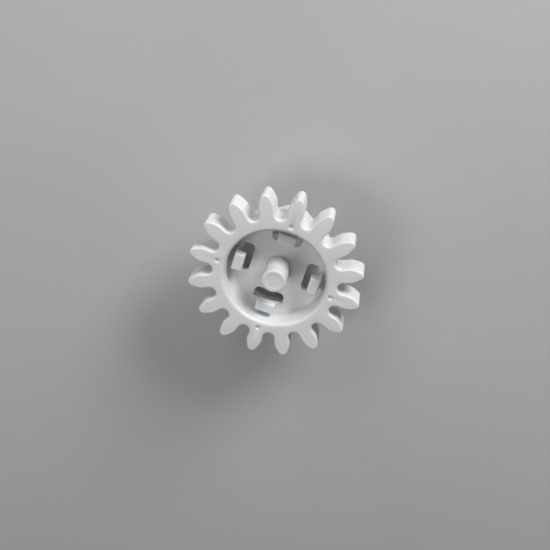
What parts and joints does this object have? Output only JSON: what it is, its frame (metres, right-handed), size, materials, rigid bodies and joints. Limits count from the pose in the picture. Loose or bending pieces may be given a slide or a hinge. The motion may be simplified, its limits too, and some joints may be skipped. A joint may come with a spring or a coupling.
{
  "type": "spur gear",
  "caption": "White moulded spur gear with a cupped front, round-root teeth and four sprung snap hooks in the cup, on a hub that turns on a short fixed spindle.",
  "frame": {"origin": "middle of the spindle foot's rear face, which is also the middle of the base of the bounding box", "axes": "+Z along the gear's axis towards the open front; +X and +Y each run through the middle of a tooth and of a snap hook"},
  "size_m": [0.036, 0.036, 0.0174],
  "materials": {
    "wheel_acetal": "fine moulded satin",
    "hub_acetal": "fine moulded satin",
    "spindle_acetal": "smooth moulded satin",
    "natural_nylon": "smooth, slightly waxy",
    "spring_steel": "stamped spring steel"
  },
  "bodies": {
    "spindle_assembly": {"spindle": "spindle_acetal", "retaining_ring": "spring_steel", "thrust_washer": "natural_nylon"},
    "wheel_assembly": {"gear_wheel": "wheel_acetal", "coupling_hub": "hub_acetal"},
    "hook_1": {"snap_hook_1": "wheel_acetal"},
    "hook_2": {"snap_hook_2": "wheel_acetal"},
    "hook_3": {"snap_hook_3": "wheel_acetal"},
    "hook_4": {"snap_hook_4": "wheel_acetal"}
  },
  "joints": [
    {"name": "wheel_spin", "type": "hinge", "parent": "spindle_assembly", "child": "wheel_assembly", "pos_m": [0, 0, 0.0078], "axis": [0, 0, 1], "continuous": true},
    {"name": "hook_1_flex", "type": "hinge", "parent": "wheel_assembly", "child": "hook_1", "pos_m": [0, 0.0089, 0.0108], "axis": [-1, 0, 0], "range_deg": [0, 6], "stiffness_Nm_per_rad": 0.2},
    {"name": "hook_2_flex", "type": "hinge", "parent": "wheel_assembly", "child": "hook_2", "pos_m": [0.0089, 0, 0.0108], "axis": [0, 1, 0], "range_deg": [0, 6], "stiffness_Nm_per_rad": 0.2},
    {"name": "hook_3_flex", "type": "hinge", "parent": "wheel_assembly", "child": "hook_3", "pos_m": [0, -0.0089, 0.0108], "axis": [1, 0, 0], "range_deg": [0, 6], "stiffness_Nm_per_rad": 0.2},
    {"name": "hook_4_flex", "type": "hinge", "parent": "wheel_assembly", "child": "hook_4", "pos_m": [-0.0089, 0, 0.0108], "axis": [0, -1, 0], "range_deg": [0, 6], "stiffness_Nm_per_rad": 0.2}
  ]
}
